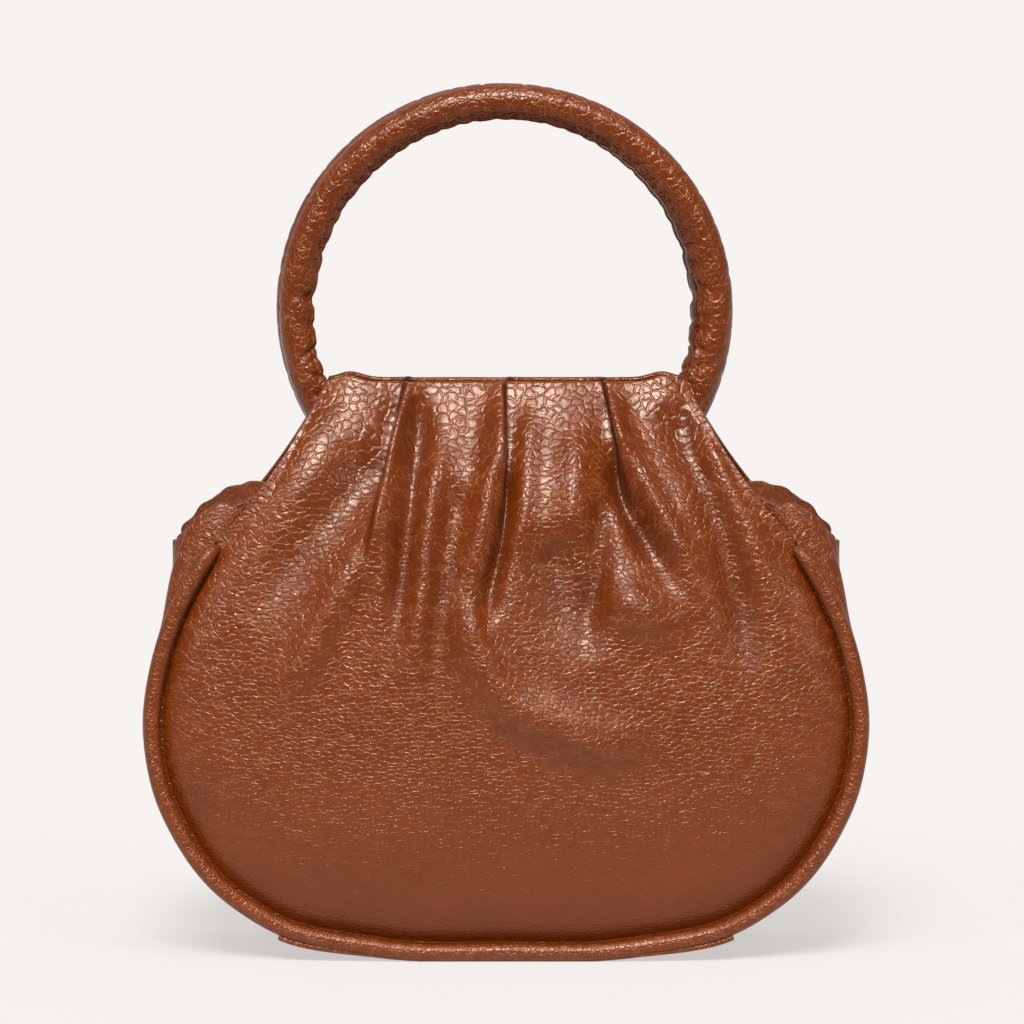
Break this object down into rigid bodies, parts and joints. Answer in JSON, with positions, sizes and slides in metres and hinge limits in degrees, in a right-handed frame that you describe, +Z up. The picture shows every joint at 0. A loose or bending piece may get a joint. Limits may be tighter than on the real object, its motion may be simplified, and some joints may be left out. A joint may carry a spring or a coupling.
{
  "type": "ring handle bag",
  "caption": "Small pleated leather handbag with piped front and back panels, puffed side gussets and leather-wrapped ring handles standing up from its mouth.",
  "frame": {"origin": "on the floor, under the middle of the bag", "axes": "+X to the right of the front panel, +Y from the front panel to the back panel, +Z up through the rings"},
  "size_m": [0.244, 0.1102, 0.2933],
  "materials": {
    "leather": "pebbled tan leather, semi-gloss"
  },
  "bodies": {
    "root": {"front_panel": "leather", "back_panel": "leather", "gusset_left": "leather", "gusset_right": "leather", "base_panel": "leather", "front_piping": "leather", "back_piping": "leather", "front_ring_handle": "leather", "back_ring_handle": "leather", "front_ring_sleeve": "leather", "back_ring_sleeve": "leather"}
  },
  "joints": []
}
